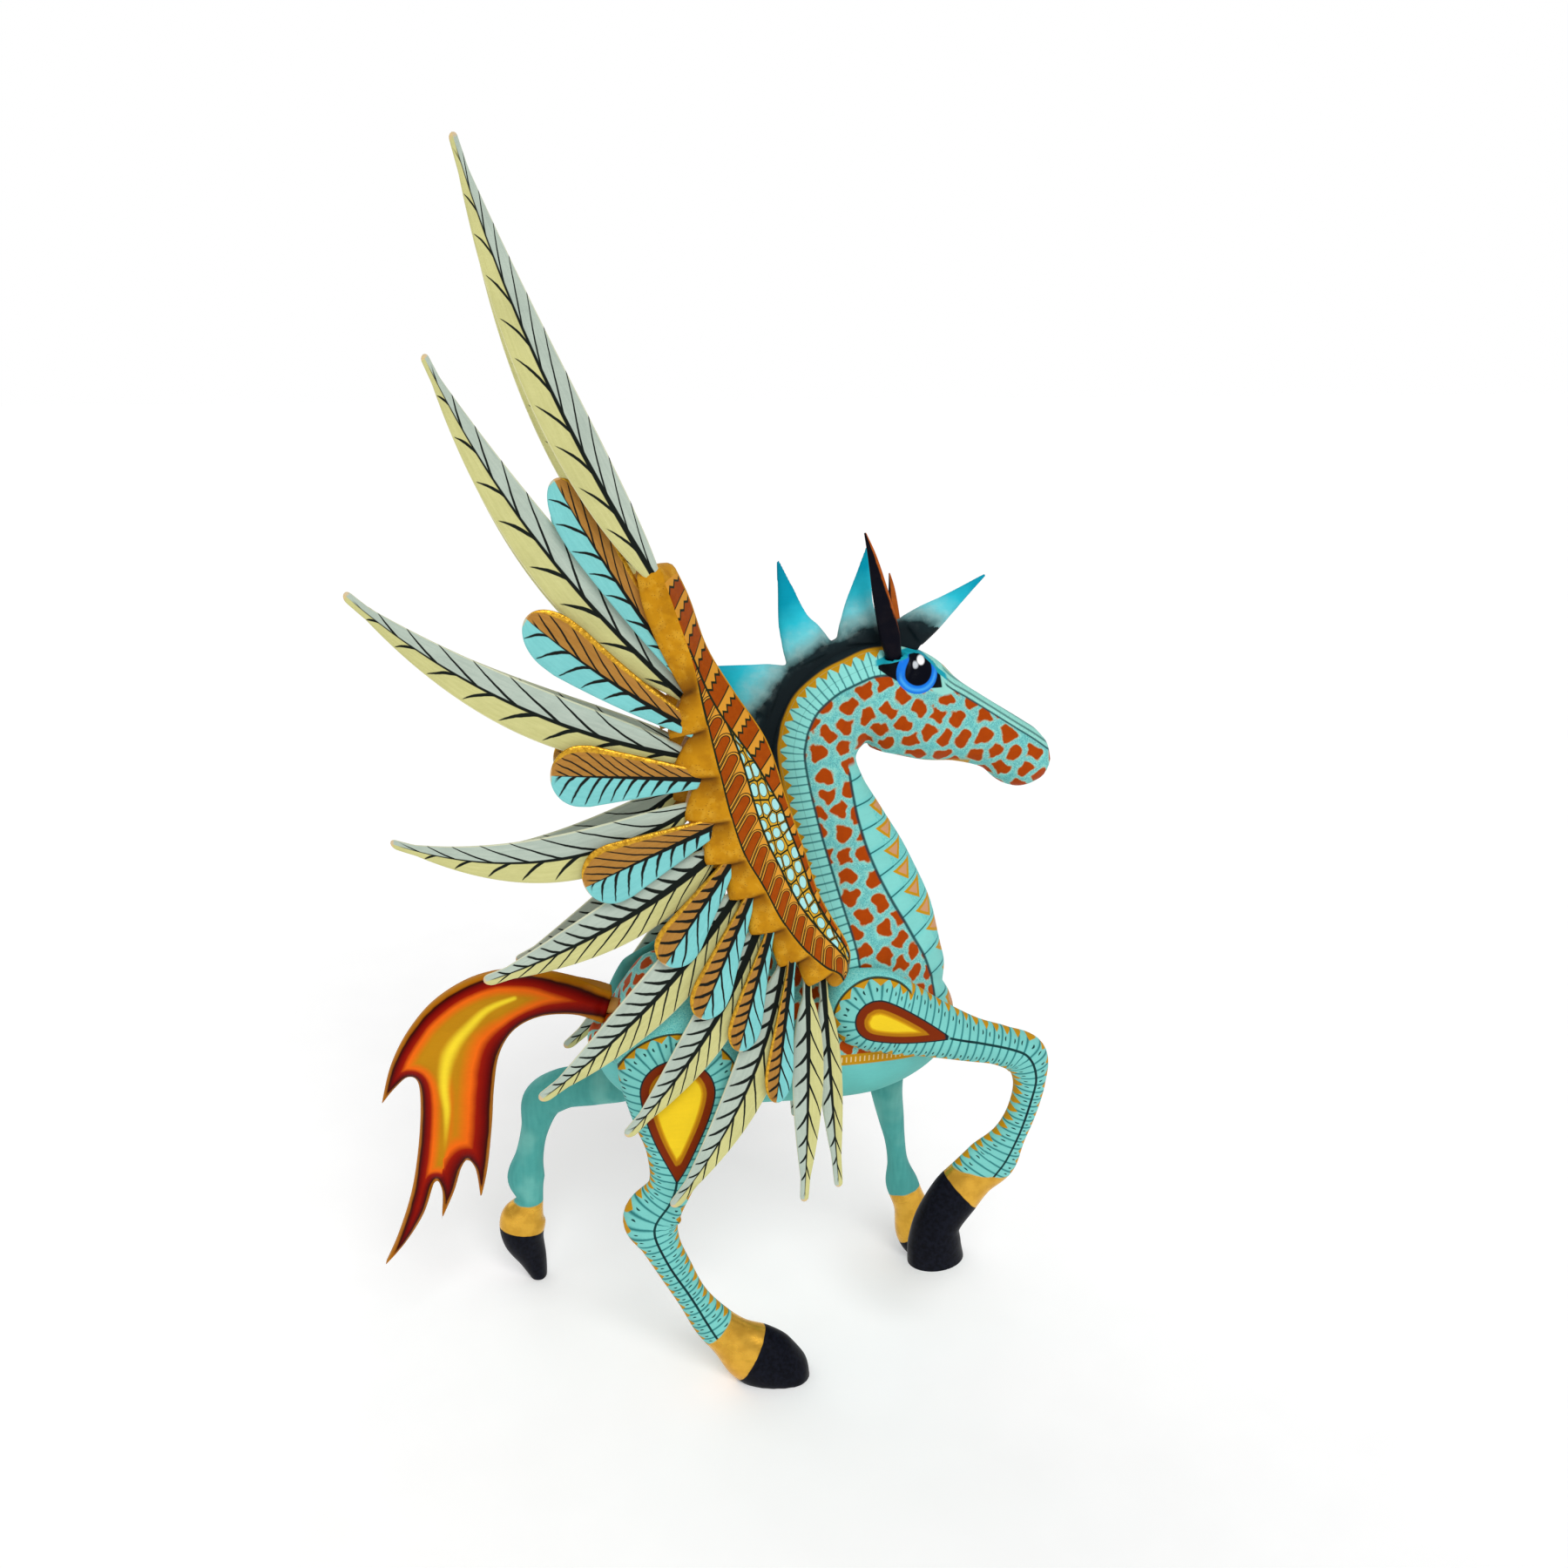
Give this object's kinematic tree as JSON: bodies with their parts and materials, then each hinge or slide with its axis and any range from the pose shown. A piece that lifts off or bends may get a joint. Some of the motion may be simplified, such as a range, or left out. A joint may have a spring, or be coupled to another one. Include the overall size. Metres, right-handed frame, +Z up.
{
  "type": "alebrije figure",
  "caption": "Carved and painted wooden winged horse, prancing, with pegged wings of separate feathers and a flame-like tail, that stands free.",
  "frame": {"origin": "on the standing surface, under the middle of the whole figure's box", "axes": "+Z up, +X towards the horse's head, +Y towards its left side"},
  "size_m": [0.2342, 0.0878, 0.4078],
  "materials": {
    "body_paint": "satin acrylic paint: turquoise with rust spots, gold borders and fine dark lines",
    "leg_paint": "satin acrylic paint: turquoise ribs, gold zigzags, gold pasterns and black hooves",
    "plain_leg_paint": "satin acrylic paint: plain turquoise, gold pasterns and black hooves",
    "mane_paint": "satin acrylic paint: black band, teal locks with pale roots",
    "ear_paint": "satin acrylic paint: black with orange-brown rims",
    "tail_paint": "satin acrylic paint: flame from maroon through orange to yellow",
    "wing_gold_paint": "satin gold acrylic paint with rust patterns and dark lines",
    "long_feather_paint": "matt acrylic paint: cream and grey halves with black barbs",
    "short_feather_paint": "satin acrylic paint: bronze-tan and turquoise halves, gold edge, black barbs",
    "bare_wood": "bare sanded wood"
  },
  "bodies": {
    "figure": {"torso": "body_paint", "neck_head": "body_paint", "mane_crest": "mane_paint", "leg_fore_right": "leg_paint", "leg_fore_left": "plain_leg_paint", "leg_hind_right": "leg_paint", "leg_hind_left": "plain_leg_paint", "leg_dowels": "bare_wood", "neck_dowel": "bare_wood"},
    "wing_right": {"wing_arm_right": "wing_gold_paint", "long_feather_right_1": "long_feather_paint", "long_feather_right_2": "long_feather_paint", "long_feather_right_3": "long_feather_paint", "long_feather_right_4": "long_feather_paint", "long_feather_right_5": "long_feather_paint", "long_feather_right_6": "long_feather_paint", "long_feather_right_7": "long_feather_paint", "long_feather_right_8": "long_feather_paint", "long_feather_right_9": "long_feather_paint", "long_feather_right_10": "long_feather_paint", "short_feather_right_1": "short_feather_paint", "short_feather_right_2": "short_feather_paint", "short_feather_right_3": "short_feather_paint", "short_feather_right_4": "short_feather_paint", "short_feather_right_5": "short_feather_paint", "short_feather_right_6": "short_feather_paint", "short_feather_right_7": "short_feather_paint", "short_feather_right_8": "short_feather_paint"},
    "wing_left": {"wing_arm_left": "wing_gold_paint", "long_feather_left_1": "long_feather_paint", "long_feather_left_2": "long_feather_paint", "long_feather_left_3": "long_feather_paint", "long_feather_left_4": "long_feather_paint", "long_feather_left_5": "long_feather_paint", "long_feather_left_6": "long_feather_paint", "long_feather_left_7": "long_feather_paint", "long_feather_left_8": "long_feather_paint", "long_feather_left_9": "long_feather_paint", "long_feather_left_10": "long_feather_paint", "short_feather_left_1": "short_feather_paint", "short_feather_left_2": "short_feather_paint", "short_feather_left_3": "short_feather_paint", "short_feather_left_4": "short_feather_paint", "short_feather_left_5": "short_feather_paint", "short_feather_left_6": "short_feather_paint", "short_feather_left_7": "short_feather_paint", "short_feather_left_8": "short_feather_paint"},
    "tail": {"tail": "tail_paint"},
    "ear_right": {"ear_right": "ear_paint"},
    "ear_left": {"ear_left": "ear_paint"}
  },
  "joints": [
    {"name": "wing_right_pull", "type": "slide", "parent": "figure", "child": "wing_right", "axis": [0, -0.9483, 0.3173], "range_m": [0, 0.02]},
    {"name": "wing_left_pull", "type": "slide", "parent": "figure", "child": "wing_left", "axis": [0, 0.9483, 0.3173], "range_m": [0, 0.02]},
    {"name": "tail_pull", "type": "slide", "parent": "figure", "child": "tail", "axis": [-0.9511, 0, 0.309], "range_m": [0, 0.018]},
    {"name": "ear_right_pull", "type": "slide", "parent": "figure", "child": "ear_right", "axis": [-0.2228, -0.1392, 0.9649], "range_m": [0, 0.01]},
    {"name": "ear_left_pull", "type": "slide", "parent": "figure", "child": "ear_left", "axis": [0.0846, 0.5878, 0.8046], "range_m": [0, 0.01]}
  ]
}
